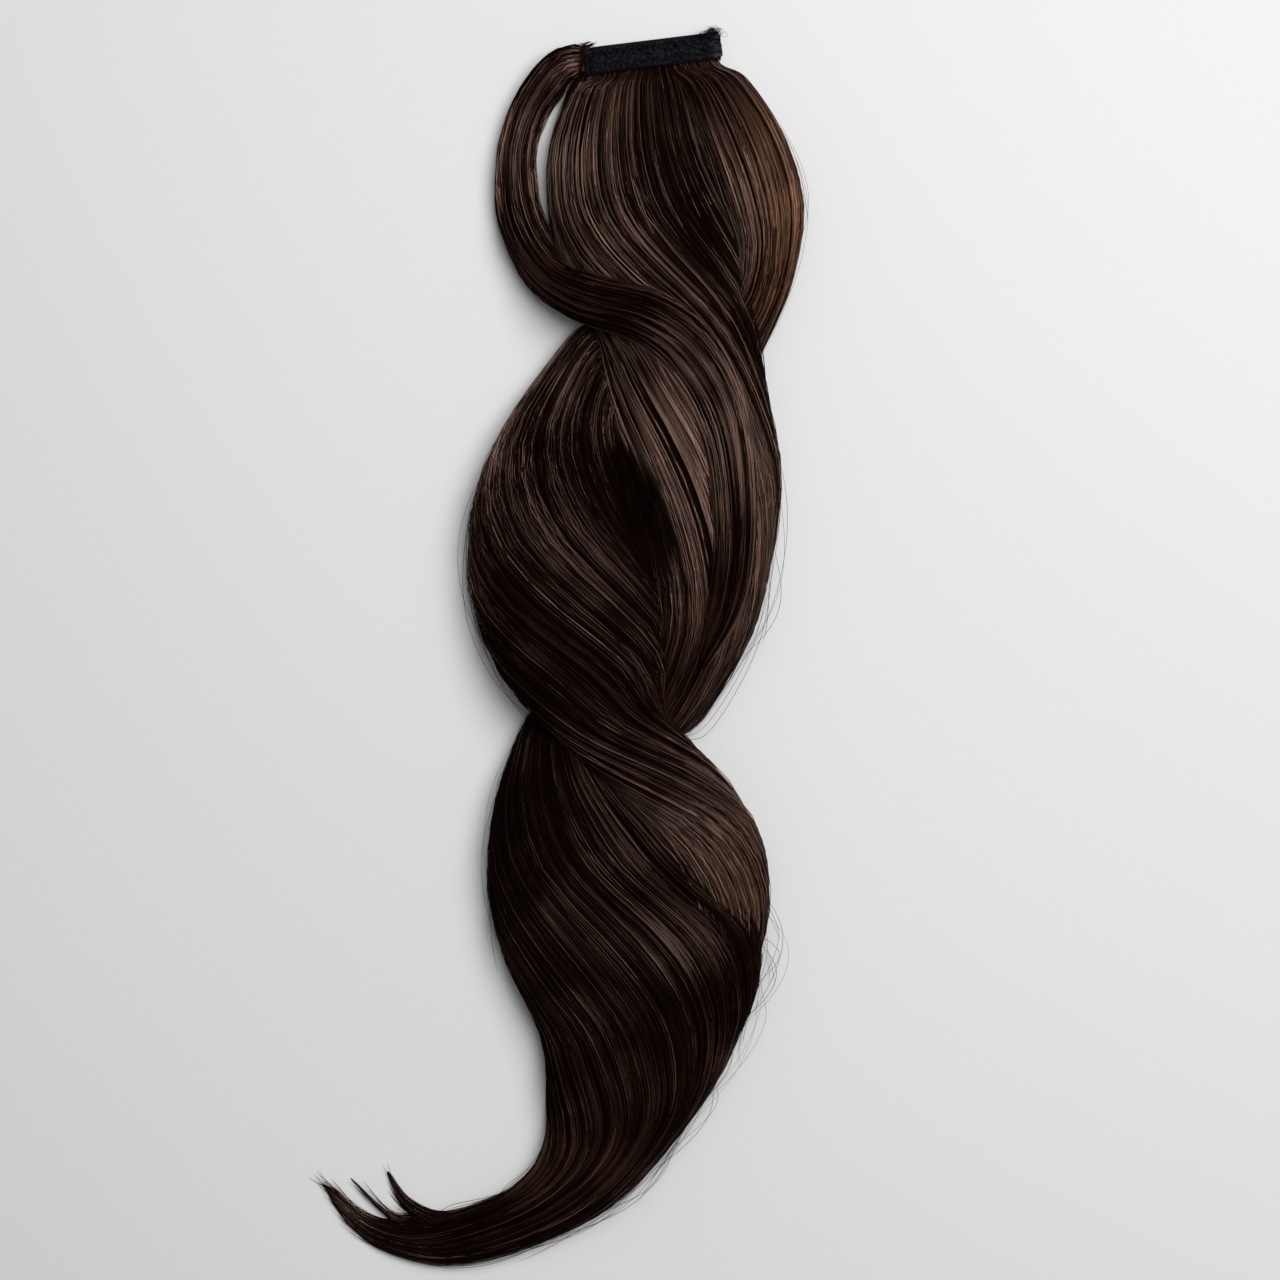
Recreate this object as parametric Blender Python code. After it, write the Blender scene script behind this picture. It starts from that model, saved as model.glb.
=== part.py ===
"""A wrap-around ponytail hairpiece, lying on a flat surface with its fastening band at the top.

The hair roots are held between the two layers of a folded woven band, which carries a fastener
strip. Two thick locks leave the band side by side and twist round each other twice, so that
three full bulges form, and then run together into a tail that curls to one side. A slim
wrapping lock leaves the band's folded end, curves out and back, and lies over the first
crossing. Metres, +Z up, the band towards +Y, the camera of the photograph above.
"""

import math
from collections import namedtuple

import bpy
import bmesh
import numpy as np
from mathutils import Matrix, Vector

# Woven band, folded once over the roots
BAND_LENGTH = 0.0820
BAND_WIDTH = 0.0160
BAND_THICKNESS = 0.0012
BAND_TILT = math.radians(7.0)
FOLD_SEGMENTS = 12

# Fastener strip on the front layer, with a row of pile along each rib
STRIP_WIDTH = 0.0138
STRIP_THICKNESS = 0.0013
STRIP_EDGE_INSET = 0.0004
STRIP_END_INSET = 0.0008
PILE_ROWS = 5
PILE_HEIGHT = 0.0005

# Hair
ROOT_THICKNESS = 0.0050
HAIR_REACH = 0.7155
HAIR_SPREAD = 0.2890
HAIR_DEPTH = 0.0350
LEFT_LOCK_SHARE = 0.62
ROOT_OVERLAP = 0.0040
ROOT_FOLD_INSET = 0.0022
ROOT_END_INSET = 0.0010
GROOVE_DEPTH = 0.0022

# The deep hollow between the two locks in the second bulge, pressed in from above. Its middle is
# given as the hair's rows are, and it is turned from straight down the hairpiece.
HOLLOW_ALONG = 0.372
HOLLOW_SIDE = -0.026
HOLLOW_LENGTH = 0.0760
HOLLOW_WIDTH = 0.0280
HOLLOW_DEPTH = 0.0200
HOLLOW_TURN = math.radians(20.0)

# Fit
CLEARANCE = 0.0003
LOCK_CLEARANCE = 0.0006

# Fineness of the faceted solids
STATIONS_PER_ROW = 3
TOP_POINTS = 15
BOTTOM_POINTS = 6

# The hair's rows. Each is one cross-section, given by its two edges as seen from above with the
# band at the top. along is a share of HAIR_REACH below the band's lower edge, side a share of
# HAIR_SPREAD from the band's middle, floor and crown shares of HAIR_DEPTH: how high the
# underside lies, and how thick the section is at its middle.
Section = namedtuple(
    "Section", "left_along left_side right_along right_side floor crown"
)

# Roots at the band's left, over the first crossing, right side of the second bulge, under the
# second crossing, slantwise over the third bulge, outer tip of the tail
LEFT_LOCK = [
    Section(0.024, -0.176, 0.020, 0.068, 0.01, 0.43),
    Section(0.077, -0.216, 0.073, 0.104, 0.00, 0.83),
    Section(0.131, -0.210, 0.123, 0.162, 0.03, 0.94),
    Section(0.184, -0.178, 0.173, 0.195, 0.20, 0.80),
    Section(0.223, -0.116, 0.229, 0.216, 0.34, 0.69),
    Section(0.268, -0.098, 0.282, 0.239, 0.14, 0.86),
    Section(0.315, -0.085, 0.345, 0.263, 0.00, 0.97),
    Section(0.379, -0.044, 0.412, 0.243, 0.00, 0.94),
    Section(0.451, -0.010, 0.479, 0.197, 0.00, 0.83),
    Section(0.514, -0.052, 0.548, 0.093, 0.00, 0.60),
    Section(0.536, -0.151, 0.563, 0.025, 0.00, 0.51),
    Section(0.536, -0.243, 0.595, -0.023, 0.00, 0.57),
    Section(0.573, -0.290, 0.616, 0.031, 0.00, 0.74),
    Section(0.613, -0.324, 0.640, 0.110, 0.00, 0.86),
    Section(0.664, -0.342, 0.675, 0.176, 0.00, 0.93),
    Section(0.720, -0.326, 0.710, 0.216, 0.00, 0.94),
    Section(0.769, -0.278, 0.743, 0.222, 0.03, 0.91),
    Section(0.811, -0.230, 0.781, 0.205, 0.03, 0.83),
    Section(0.852, -0.220, 0.811, 0.174, 0.00, 0.77),
    Section(0.887, -0.216, 0.847, 0.131, 0.00, 0.71),
    Section(0.915, -0.239, 0.880, 0.077, 0.00, 0.63),
    Section(0.937, -0.290, 0.918, 0.000, 0.00, 0.54),
    Section(0.951, -0.365, 0.957, -0.104, 0.00, 0.43),
    Section(0.961, -0.442, 0.989, -0.270, 0.00, 0.31),
    Section(0.967, -0.523, 1.002, -0.425, 0.00, 0.21),
    Section(0.960, -0.593, 0.991, -0.556, 0.00, 0.13),
    Section(0.945, -0.645, 0.969, -0.631, 0.00, 0.08),
    Section(0.935, -0.685, 0.940, -0.678, 0.00, 0.04),
]

# Roots at the band's right, under the first crossing, left side of the second bulge, over the
# second crossing, slantwise under the third bulge, middle tip of the tail
RIGHT_LOCK = [
    Section(0.020, 0.060, 0.010, 0.189, 0.01, 0.40),
    Section(0.060, 0.091, 0.053, 0.261, 0.00, 0.74),
    Section(0.110, 0.135, 0.110, 0.307, 0.00, 0.94),
    Section(0.156, 0.166, 0.162, 0.295, 0.00, 0.89),
    Section(0.199, 0.131, 0.209, 0.257, 0.00, 0.74),
    Section(0.213, 0.031, 0.268, 0.166, 0.00, 0.54),
    Section(0.213, -0.127, 0.276, 0.004, 0.00, 0.54),
    Section(0.258, -0.230, 0.301, -0.039, 0.00, 0.71),
    Section(0.314, -0.324, 0.340, -0.015, 0.00, 0.91),
    Section(0.379, -0.380, 0.400, 0.023, 0.00, 0.97),
    Section(0.449, -0.373, 0.451, 0.039, 0.03, 0.94),
    Section(0.513, -0.305, 0.500, 0.031, 0.26, 0.80),
    Section(0.561, -0.193, 0.540, 0.025, 0.40, 0.71),
    Section(0.602, -0.089, 0.582, 0.120, 0.26, 0.80),
    Section(0.642, -0.010, 0.630, 0.207, 0.06, 0.89),
    Section(0.694, 0.023, 0.686, 0.239, 0.00, 0.77),
    Section(0.741, -0.002, 0.741, 0.218, 0.00, 0.63),
    Section(0.786, -0.089, 0.795, 0.164, 0.00, 0.51),
    Section(0.823, -0.176, 0.838, 0.077, 0.00, 0.51),
    Section(0.857, -0.193, 0.872, -0.002, 0.00, 0.53),
    Section(0.885, -0.201, 0.905, -0.056, 0.00, 0.50),
    Section(0.910, -0.226, 0.935, -0.110, 0.00, 0.43),
    Section(0.934, -0.280, 0.957, -0.176, 0.00, 0.34),
    Section(0.951, -0.340, 0.971, -0.259, 0.00, 0.27),
    Section(0.961, -0.415, 0.979, -0.359, 0.00, 0.21),
    Section(0.962, -0.490, 0.981, -0.459, 0.00, 0.16),
    Section(0.959, -0.548, 0.973, -0.521, 0.00, 0.12),
    Section(0.930, -0.627, 0.934, -0.620, 0.00, 0.04),
]

# A wisp that parts from the inside of the curl
INNER_TIP = [
    Section(0.945, -0.317, 0.959, -0.301, 0.00, 0.17),
    Section(0.958, -0.429, 0.971, -0.425, 0.00, 0.17),
    Section(0.948, -0.504, 0.958, -0.511, 0.00, 0.11),
    Section(0.924, -0.549, 0.926, -0.553, 0.00, 0.04),
]

# The wrapping lock, from the band's folded end to where it runs out on the second bulge
WRAP_LOCK = [
    Section(-0.006, -0.230, 0.025, -0.191, 0.09, 0.34),
    Section(0.031, -0.293, 0.043, -0.224, 0.00, 0.40),
    Section(0.077, -0.324, 0.077, -0.247, 0.00, 0.43),
    Section(0.132, -0.320, 0.119, -0.234, 0.03, 0.43),
    Section(0.182, -0.260, 0.154, -0.189, 0.17, 0.43),
    Section(0.213, -0.163, 0.174, -0.104, 0.63, 0.37),
    Section(0.232, -0.039, 0.192, 0.019, 0.86, 0.31),
    Section(0.266, 0.046, 0.225, 0.122, 0.86, 0.29),
    Section(0.318, 0.102, 0.286, 0.191, 0.83, 0.29),
    Section(0.387, 0.122, 0.372, 0.212, 0.83, 0.26),
    Section(0.446, 0.110, 0.450, 0.189, 0.74, 0.23),
    Section(0.499, 0.081, 0.506, 0.106, 0.63, 0.11),
]


def clear_scene():
    for obj in list(bpy.data.objects):
        bpy.data.objects.remove(obj)


def material(name, colour, roughness):
    made = bpy.data.materials.new(name)
    made.use_nodes = True
    shader = made.node_tree.nodes["Principled BSDF"]
    shader.inputs["Base Color"].default_value = (*colour, 1.0)
    shader.inputs["Roughness"].default_value = roughness
    shader.inputs["Metallic"].default_value = 0.0
    return made


def object_of(name, points, faces, finish):
    """One named object from points in metres and faces that list their corners."""
    mesh = bpy.data.meshes.new(name)
    mesh.from_pydata([tuple(point) for point in points], [], faces)
    mesh.validate()
    shell = bmesh.new()
    shell.from_mesh(mesh)
    bmesh.ops.recalc_face_normals(shell, faces=shell.faces)
    shell.to_mesh(mesh)
    shell.free()
    mesh.shade_smooth()
    mesh.set_sharp_from_angle(angle=math.radians(40))
    mesh.materials.append(finish)
    obj = bpy.data.objects.new(name, mesh)
    bpy.context.scene.collection.objects.link(obj)
    return obj


# The band's own frame: X along it from the fold, Y across it from the lower edge, Z up
def on_band():
    """Places the band's own frame: its middle on the origin, turned by the band's tilt."""
    turn = Matrix.Rotation(BAND_TILT, 4, "Z")
    return turn @ Matrix.Translation(Vector((-BAND_LENGTH / 2, 0, 0)))


def layer_gap():
    """The space between the band's two layers, which the roots fill."""
    return ROOT_THICKNESS + 2 * CLEARANCE


def band_height():
    return layer_gap() + 2 * BAND_THICKNESS


def fold_outline():
    """The folded band seen from its edge: out along the top layer, round the fold, and back."""
    outer = band_height() / 2
    inner = layer_gap() / 2
    middle = outer
    turns = [math.pi * (0.5 + i / FOLD_SEGMENTS) for i in range(FOLD_SEGMENTS + 1)]
    outside = [(outer * math.cos(a), middle + outer * math.sin(a)) for a in turns]
    inside = [(inner * math.cos(a), middle + inner * math.sin(a)) for a in turns]
    end = BAND_LENGTH - outer
    outline = [(end, band_height()), *outside, (end, 0.0)]
    outline += [(end, BAND_THICKNESS), *reversed(inside)]
    outline += [(end, band_height() - BAND_THICKNESS)]
    return [(x + outer, z) for x, z in outline]


def extruded(name, outline, depth, finish):
    """A prism: the outline in X and Z, carried along Y from 0 to depth."""
    count = len(outline)
    points = [(x, 0.0, z) for x, z in outline] + [(x, depth, z) for x, z in outline]
    faces = [(i, (i + 1) % count, count + (i + 1) % count, count + i) for i in range(count)]
    faces += [tuple(range(count)), tuple(reversed(range(count, 2 * count)))]
    return object_of(name, points, faces, finish)


def build_band(finish):
    band = extruded("woven_band", fold_outline(), BAND_WIDTH, finish)
    band.matrix_world = on_band()
    return band


def build_strip(finish):
    """The fastener strip: a flat back, and a top with one rounded rib for each row of pile."""
    pitch = STRIP_WIDTH / PILE_ROWS
    steps = 6
    outline = [(STRIP_WIDTH, 0.0), (0.0, 0.0)]
    body = STRIP_THICKNESS - PILE_HEIGHT
    for row in range(PILE_ROWS):
        for step in range(steps):
            rise = math.sin(math.pi * step / steps)
            outline.append(((row + step / steps) * pitch, body + PILE_HEIGHT * rise))
    outline.append((STRIP_WIDTH, body))
    length = BAND_LENGTH - band_height() / 2 - STRIP_END_INSET
    strip = extruded("fastener_strip", outline, length, finish)
    rise = band_height() + CLEARANCE
    quarter_turn = Matrix.Rotation(-math.pi / 2, 4, "Z")
    place = Matrix.Translation(Vector((band_height() / 2, STRIP_WIDTH + STRIP_EDGE_INSET, rise)))
    strip.matrix_world = on_band() @ place @ quarter_turn
    return strip


# Hair sections as absolute numbers: left x, left y, right x, right y, floor, crown
def absolute(section):
    return [
        section.left_side * HAIR_SPREAD,
        -section.left_along * HAIR_REACH,
        section.right_side * HAIR_SPREAD,
        -section.right_along * HAIR_REACH,
        section.floor * HAIR_DEPTH,
        section.crown * HAIR_DEPTH,
    ]


def root_section(start, end, across):
    """A section between the band's layers, from start to end along it and across from its edge."""
    place = on_band()
    left = place @ Vector((start, across, 0))
    right = place @ Vector((end, across, 0))
    lift = BAND_THICKNESS + CLEARANCE
    return [left.x, left.y, right.x, right.y, lift, ROOT_THICKNESS]


def rooted(start, end, lock):
    """A lock's rows, with the two that hold its roots in the band put first."""
    hidden = root_section(start, end, BAND_WIDTH - ROOT_THICKNESS)
    at_edge = root_section(start, end, -ROOT_THICKNESS / 2)
    return np.array([hidden, at_edge] + [absolute(section) for section in lock])


def wrap_rows():
    """The wrapping lock's rows. The first two pass over the band's folded end, where it is sewn."""
    place = on_band()
    over_band = band_height() + CLEARANCE + LOCK_CLEARANCE
    thickness = WRAP_LOCK[0].crown * HAIR_DEPTH
    top = place @ Vector((band_height() / 2 + STRIP_EDGE_INSET, BAND_WIDTH * 1.05, 0))
    foot = place @ Vector((-STRIP_EDGE_INSET, 0, 0))
    sewn = [top.x, top.y, foot.x, foot.y, over_band, thickness / 2]
    beyond = place @ Vector((-band_height(), BAND_WIDTH * 1.15, 0))
    below = place @ Vector((-band_height() * 1.3, -BAND_WIDTH / 4, 0))
    falling = [beyond.x, beyond.y, below.x, below.y, over_band * 0.75, thickness * 0.8]
    return np.array([sewn, falling] + [absolute(section) for section in WRAP_LOCK])


def smooth_rows(rows):
    """Catmull-Rom curves through the rows, with STATIONS_PER_ROW stations from row to row."""
    count = len(rows)
    place = np.linspace(0, count - 1, (count - 1) * STATIONS_PER_ROW + 1)
    first = np.minimum(place.astype(int), count - 2)
    part = (place - first)[:, None]
    padded = np.vstack([2 * rows[0] - rows[1], rows, 2 * rows[-1] - rows[-2]])
    a, b, c, d = (padded[first + k] for k in range(4))
    curve = 2 * b + (c - a) * part + (2 * a - 5 * b + 4 * c - d) * part**2
    return 0.5 * (curve + (3 * b - a - 3 * c + d) * part**3)


def section_shape(locks):
    """One section's outline as shares: across from edge to edge, and up from floor to crown.

    The upper side is a dome with a shallow groove between neighbouring locks, and the underside
    is flat with rounded corners, because the hair lies under its own weight.
    """
    over = np.linspace(0, math.pi, TOP_POINTS)
    under = np.linspace(math.pi, 2 * math.pi, BOTTOM_POINTS + 2)[1:-1]
    across = 0.5 - 0.5 * np.cos(np.concatenate([over, under]))
    widest = 0.32
    dome = widest + (1 - widest) * np.sin(over) ** 0.8
    flat = widest - widest * np.abs(np.sin(under)) ** 0.35
    groove = np.abs(np.cos(math.pi * locks * across[:TOP_POINTS])) ** 4 * np.sin(over)
    return across, np.concatenate([dome, flat]), np.concatenate([groove, 0 * flat])


def lofted(name, rows, locks, finish, grow=0.0):
    """One closed solid through the rows. grow moves its whole surface outwards by that much."""
    stations = smooth_rows(rows)
    left, right = stations[:, 0:2], stations[:, 2:4]
    width = np.linalg.norm(right - left, axis=1)[:, None]
    aside = (right - left) / width * grow
    left, right = left - aside, right + aside
    floor = np.maximum(stations[:, 4:5], 0.0) - grow
    crown = np.maximum(stations[:, 5:6], CLEARANCE) + 2 * grow
    across, up, groove = section_shape(locks)
    plan = left[:, None, :] + (right - left)[:, None, :] * across[None, :, None]
    height = floor + crown * up - groove * np.minimum(GROOVE_DEPTH, crown / 6)
    points = np.concatenate([plan, height[:, :, None]], axis=2)
    ring = points.shape[1]
    faces = [
        (s * ring + k, s * ring + (k + 1) % ring, (s + 1) * ring + (k + 1) % ring, (s + 1) * ring + k)
        for s in range(len(points) - 1)
        for k in range(ring)
    ]
    last = (len(points) - 1) * ring
    faces += [tuple(range(ring)), tuple(reversed(range(last, last + ring)))]
    return object_of(name, points.reshape(-1, 3), faces, finish)


def combine(target, other, operation):
    """Joins other to target, or cuts it away, and keeps other only as a hidden helper."""
    change = target.modifiers.new(other.name, "BOOLEAN")
    change.operation = operation
    change.solver = "EXACT"
    change.object = other
    other.hide_render = True
    other.display_type = "WIRE"


def hollow_cutter(finish):
    """An ellipsoid as long, wide and deep as the hollow, with its middle level with the hair's top."""
    ball = bmesh.new()
    bmesh.ops.create_icosphere(ball, subdivisions=3, radius=1.0)
    size = Vector((HOLLOW_WIDTH / 2, HOLLOW_LENGTH / 2, HOLLOW_DEPTH))
    bmesh.ops.scale(ball, vec=size, verts=ball.verts)
    bmesh.ops.rotate(ball, matrix=Matrix.Rotation(HOLLOW_TURN, 3, "Z"), verts=ball.verts)
    middle = Vector((HOLLOW_SIDE * HAIR_SPREAD, -HOLLOW_ALONG * HAIR_REACH, HAIR_DEPTH))
    points = [vertex.co + middle for vertex in ball.verts]
    faces = [tuple(vertex.index for vertex in face.verts) for face in ball.faces]
    ball.free()
    return object_of("hollow", points, faces, finish)


def build_hair(finish):
    """The main hair: both twisted locks and the parted wisp, fused, with the hollow pressed in
    and the wrap's bed cut in.
    """
    start = ROOT_FOLD_INSET
    end = BAND_LENGTH - ROOT_END_INSET
    parting = start + (end - start) * LEFT_LOCK_SHARE
    left_rows = rooted(start, parting + ROOT_OVERLAP, LEFT_LOCK)
    right_rows = rooted(parting - ROOT_OVERLAP, end, RIGHT_LOCK)
    tip_rows = np.array([absolute(section) for section in INNER_TIP])
    hair = lofted("main_hair", left_rows, 4, finish)
    combine(hair, lofted("right_lock", right_rows, 4, finish), "UNION")
    combine(hair, lofted("inner_tip", tip_rows, 1, finish), "UNION")
    combine(hair, hollow_cutter(finish), "DIFFERENCE")
    combine(hair, lofted("wrap_bed", wrap_rows(), 2, finish, LOCK_CLEARANCE), "DIFFERENCE")
    return hair


def build_wrap(finish):
    return lofted("wrap_lock", wrap_rows(), 2, finish)


def settle(parts):
    """Moves the parts together, so that the middle of their underside is the origin."""
    graph = bpy.context.evaluated_depsgraph_get()
    corners = []
    for part in parts:
        mesh = part.evaluated_get(graph).to_mesh()
        corners += [part.matrix_world @ vertex.co for vertex in mesh.vertices]
    low = [min(corner[axis] for corner in corners) for axis in range(3)]
    high = [max(corner[axis] for corner in corners) for axis in range(3)]
    middle = Vector(((low[0] + high[0]) / 2, (low[1] + high[1]) / 2, low[2]))
    hairpiece = bpy.data.objects.new("hairpiece", None)
    bpy.context.scene.collection.objects.link(hairpiece)
    for obj in bpy.context.scene.objects:
        if obj.type == "MESH":
            obj.parent = hairpiece
    hairpiece.location = -middle


def main():
    clear_scene()
    weave = material("black_weave", (0.010, 0.010, 0.013), 0.85)
    pile = material("black_pile", (0.012, 0.012, 0.016), 0.95)
    brown = material("dark_brown_hair", (0.028, 0.016, 0.011), 0.42)
    parts = [build_band(weave), build_strip(pile), build_hair(brown), build_wrap(brown)]
    bpy.context.view_layer.update()
    settle(parts)


main()
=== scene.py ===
"""Looks of the wrap-around ponytail hairpiece: woven band, fastener strip, and hair laid strand by strand.

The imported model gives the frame. The band's own frame has X along it from the folded end, Y across
it from its lower edge and Z up; the hair is laid out from the middle of that lower edge. Metres.
"""

import math

import bpy
import numpy as np
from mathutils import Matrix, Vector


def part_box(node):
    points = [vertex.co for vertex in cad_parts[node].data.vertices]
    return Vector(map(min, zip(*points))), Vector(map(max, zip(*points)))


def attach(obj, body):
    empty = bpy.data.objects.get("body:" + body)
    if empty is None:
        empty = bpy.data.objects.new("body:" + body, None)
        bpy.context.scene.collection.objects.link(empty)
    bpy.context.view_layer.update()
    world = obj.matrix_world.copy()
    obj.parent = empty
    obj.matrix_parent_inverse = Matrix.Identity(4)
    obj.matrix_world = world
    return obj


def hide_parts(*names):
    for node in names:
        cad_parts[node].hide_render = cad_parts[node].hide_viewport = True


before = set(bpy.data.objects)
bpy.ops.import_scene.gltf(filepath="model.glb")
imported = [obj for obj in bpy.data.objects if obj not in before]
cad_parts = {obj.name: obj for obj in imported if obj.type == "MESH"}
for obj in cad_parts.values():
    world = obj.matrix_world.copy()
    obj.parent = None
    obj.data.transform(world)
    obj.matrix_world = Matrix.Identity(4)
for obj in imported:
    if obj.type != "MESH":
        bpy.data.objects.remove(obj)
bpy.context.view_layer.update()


# WOVEN BAND
# A black polyester tape 16 mm wide and 1.2 mm thick, folded once round the cut roots of the hair
# and sewn through along both edges. The fold is at the left end, the open end at the right.
BAND_LENGTH = 0.0820
BAND_WIDTH = 0.0160
BAND_THICKNESS = 0.0012
BAND_HEIGHT = 0.0080
BAND_TILT = math.radians(7.0)

band_low = np.array(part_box("woven_band")[0])
band_along = np.array([math.cos(BAND_TILT), math.sin(BAND_TILT), 0.0])
band_across = np.array([-math.sin(BAND_TILT), math.cos(BAND_TILT), 0.0])
band_corner = np.array([band_low[0] + BAND_WIDTH * math.sin(BAND_TILT), band_low[1], 0.0])
band_middle = band_corner + band_along * BAND_LENGTH / 2


def on_band(points):
    """Points of the band's own frame, carried to where the band lies."""
    along, across, rise = points[..., 0:1], points[..., 1:2], points[..., 2:3]
    up = np.array([0.0, 0.0, 1.0])
    return band_corner + along * band_along + across * band_across + rise * up


def unit(vectors):
    """Each vector divided by its length."""
    return vectors / np.maximum(np.linalg.norm(vectors, axis=-1, keepdims=True), 1e-9)


CELL_MARGIN = 0.04
CAP_STRIP = 0.12


def cell_map(rings):
    """Where each face corner of tubes lies on a flat map: each tube has a cell of its own in a square
    of cells, the way round it as u and the way along it as v, and its two caps at the cell's foot."""
    tubes, stations, points = rings.shape[:3]
    side = math.ceil(math.sqrt(tubes))
    cell = np.stack([np.arange(tubes) % side, np.arange(tubes) // side], axis=-1)
    around = np.arange(points + 1) / points
    along = CAP_STRIP + (1 - CAP_STRIP) * np.arange(stations) / (stations - 1)
    corner = np.zeros((stations - 1, points, 4, 2))
    corner[:, :, (0, 3), 0] = around[None, :-1, None]
    corner[:, :, (1, 2), 0] = around[None, 1:, None]
    corner[:, :, (0, 1), 1] = along[:-1, None, None]
    corner[:, :, (2, 3), 1] = along[1:, None, None]
    turn = 2 * np.pi * np.arange(points) / points
    disc = np.stack([0.25 + 0.2 * np.cos(turn), 0.05 + 0.04 * np.sin(turn)], axis=-1)
    walls = cell[:, None, None, None, :] + CELL_MARGIN + (1 - 2 * CELL_MARGIN) * corner
    caps = cell[:, None, None, :] + np.stack([disc, disc + (0.5, 0.0)])
    return np.concatenate([walls.reshape(-1, 2), caps.reshape(-1, 2)]) / side


def tube_piece(name, rings, finish, tone, stands_for=()):
    """One piece made of closed tubes. rings[tube, station, point] are the points round each tube,
    counterclockwise as seen against the way it runs, and tone says how light each station is, or
    each point. Walls are quads between neighbouring stations, and one face closes each end."""
    tubes, stations, points = rings.shape[:3]
    index = np.arange(tubes * stations * points).reshape(tubes, stations, points)
    beside = np.roll(index, -1, axis=2)
    walls = np.stack([index[:, :-1], beside[:, :-1], beside[:, 1:], index[:, 1:]], axis=-1)
    caps = np.stack([index[:, 0, ::-1], index[:, -1]], axis=1)
    corners = np.concatenate([walls.reshape(-1), caps.reshape(-1)]).astype(np.int32)
    sizes = np.concatenate([np.full(walls.size // 4, 4), np.full(2 * tubes, points)])
    starts = (np.cumsum(sizes) - sizes).astype(np.int32)
    mesh = bpy.data.meshes.new(name)
    mesh.vertices.add(index.size)
    mesh.vertices.foreach_set("co", rings.astype(np.float32).reshape(-1))
    mesh.loops.add(len(corners))
    mesh.loops.foreach_set("vertex_index", corners)
    mesh.polygons.add(len(starts))
    mesh.polygons.foreach_set("loop_start", starts)
    mesh.update(calc_edges=True)
    flat_map = cell_map(rings).astype(np.float32).reshape(-1)
    mesh.uv_layers.new(name="OFBake").uv.foreach_set("vector", flat_map)
    shade = np.broadcast_to(tone if tone.ndim == 3 else tone[:, :, None], index.shape)
    shade = shade.astype(np.float32).reshape(-1)
    mesh.attributes.new("tone", "FLOAT", "POINT").data.foreach_set("value", shade)
    mesh.shade_smooth()
    mesh.materials.append(finish)
    piece = bpy.data.objects.new(name, mesh)
    bpy.context.scene.collection.objects.link(piece)
    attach(piece, "root")
    if stands_for:
        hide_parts(*stands_for)
    return piece


def rings_round(path, radius, points):
    """Rings of points round each path[tube, station], square to the way it runs: radius outwards,
    turned from one side over the top to the other."""
    ahead = unit(np.gradient(path, axis=1))
    side = unit(np.cross(np.array([0.0, 0.0, 1.0]), ahead))
    above = np.cross(ahead, side)
    turn = 2 * np.pi * np.arange(points) / points
    ring = np.cos(turn)[:, None] * side[:, :, None] + np.sin(turn)[:, None] * above[:, :, None]
    return path[:, :, None] + radius[:, :, None, None] * ring


def new_material(name):
    """A material with its shader and the functions that add nodes and join them."""
    made = bpy.data.materials.new(name)
    made.use_nodes = True
    nodes = made.node_tree.nodes

    def add(kind, **settings):
        """A new node of the kind, with each setting put on its socket of that name, or on itself."""
        node = nodes.new("ShaderNode" + kind)
        for key, value in settings.items():
            if key in node.inputs:
                node.inputs[key].default_value = value
            else:
                setattr(node, key, value)
        return node

    return made, nodes["Principled BSDF"], add, made.node_tree.links.new


def ramp_of(add, stops):
    """A colour ramp through the stops, each a place and a colour."""
    ramp = add("ValToRGB")
    elements = ramp.color_ramp.elements
    while len(elements) < len(stops):
        elements.new(0.5)
    for element, (place, colour) in zip(elements, stops):
        element.position = place
        element.color = (*colour, 1.0)
    return ramp


tape, shader, add, join = new_material("band_weave")
shader.inputs["Roughness"].default_value = 0.82
shader.inputs["Specular IOR Level"].default_value = 0.15
tape_map = add("UVMap", uv_map="weave")
tape_scale = add("Mapping")
tape_scale.inputs["Scale"].default_value = (150.0, 26.0, 1.0)
join(tape_map.outputs["UV"], tape_scale.inputs["Vector"])
warp = add("TexWave", wave_type="BANDS", bands_direction="X", Scale=1.0)
weft = add("TexWave", wave_type="BANDS", bands_direction="Y", Scale=1.0)
fuzz = add("TexNoise", Scale=1400.0, Detail=3.0)
place = add("TexCoord")
join(place.outputs["Object"], fuzz.inputs["Vector"])
for wave in (warp, weft):
    join(tape_scale.outputs["Vector"], wave.inputs["Vector"])
weave = add("Math", operation="MAXIMUM")
join(warp.outputs["Fac"], weave.inputs[0])
join(weft.outputs["Fac"], weave.inputs[1])
woven = add("Math", operation="MULTIPLY")
join(weave.outputs["Value"], woven.inputs[0])
join(fuzz.outputs["Fac"], woven.inputs[1])
tape_ramp = ramp_of(add, [(0.1, (0.0012, 0.0011, 0.0018)), (0.6, (0.0070, 0.0066, 0.0090))])
join(woven.outputs["Value"], tape_ramp.inputs["Fac"])
join(tape_ramp.outputs["Color"], shader.inputs["Base Color"])
relief = add("Bump", Strength=0.6, Distance=0.00025)
join(woven.outputs["Value"], relief.inputs["Height"])
join(relief.outputs["Normal"], shader.inputs["Normal"])

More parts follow.
